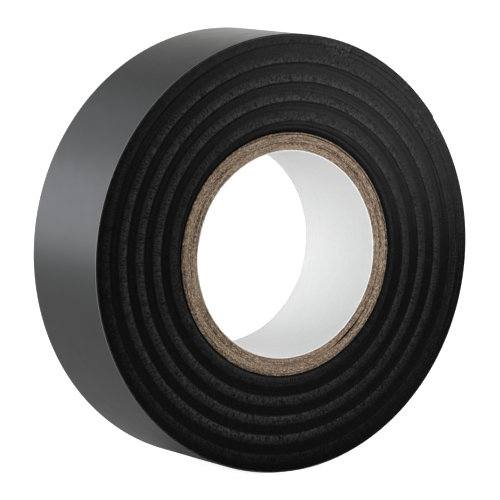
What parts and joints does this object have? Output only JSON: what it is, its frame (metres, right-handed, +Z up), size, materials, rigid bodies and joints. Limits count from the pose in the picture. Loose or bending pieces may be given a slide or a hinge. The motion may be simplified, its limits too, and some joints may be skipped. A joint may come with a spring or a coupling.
{
  "type": "electrical tape roll",
  "caption": "Roll of black vinyl electrical tape wound on a lined paperboard core, with a free end that peels up and travels round the roll.",
  "frame": {"origin": "centre of the core's bore, on the roll's axis and halfway across the tape's width", "axes": "+Y along the roll's axis, away from the side that is seen from the front; +Z up, with the roll standing on its rim; +X to the right seen from the front"},
  "size_m": [0.0675, 0.019, 0.0676],
  "materials": {
    "liner_paper": "matte",
    "core_board": "matte",
    "tape_edges": "satin",
    "tape_face": "satin",
    "tape_adhesive": "gloss"
  },
  "bodies": {
    "roll": {"core_liner": "liner_paper", "core_ply_inner": "core_board", "core_ply_middle": "core_board", "core_ply_outer": "core_board", "tape_winding": "tape_edges"},
    "last_turn": {"outer_turn": "tape_face"},
    "tail": {"tape_end_film": "tape_face", "tape_end_adhesive": "tape_adhesive"}
  },
  "joints": [
    {"name": "unwind", "type": "hinge", "parent": "roll", "child": "last_turn", "pos_m": [0, 0, 0], "axis": [0, 1, 0], "continuous": true},
    {"name": "tail_peel", "type": "hinge", "parent": "last_turn", "child": "tail", "pos_m": [0.0116, 0, 0.03181], "axis": [0, -1, 0], "range_deg": [0, 165]}
  ]
}
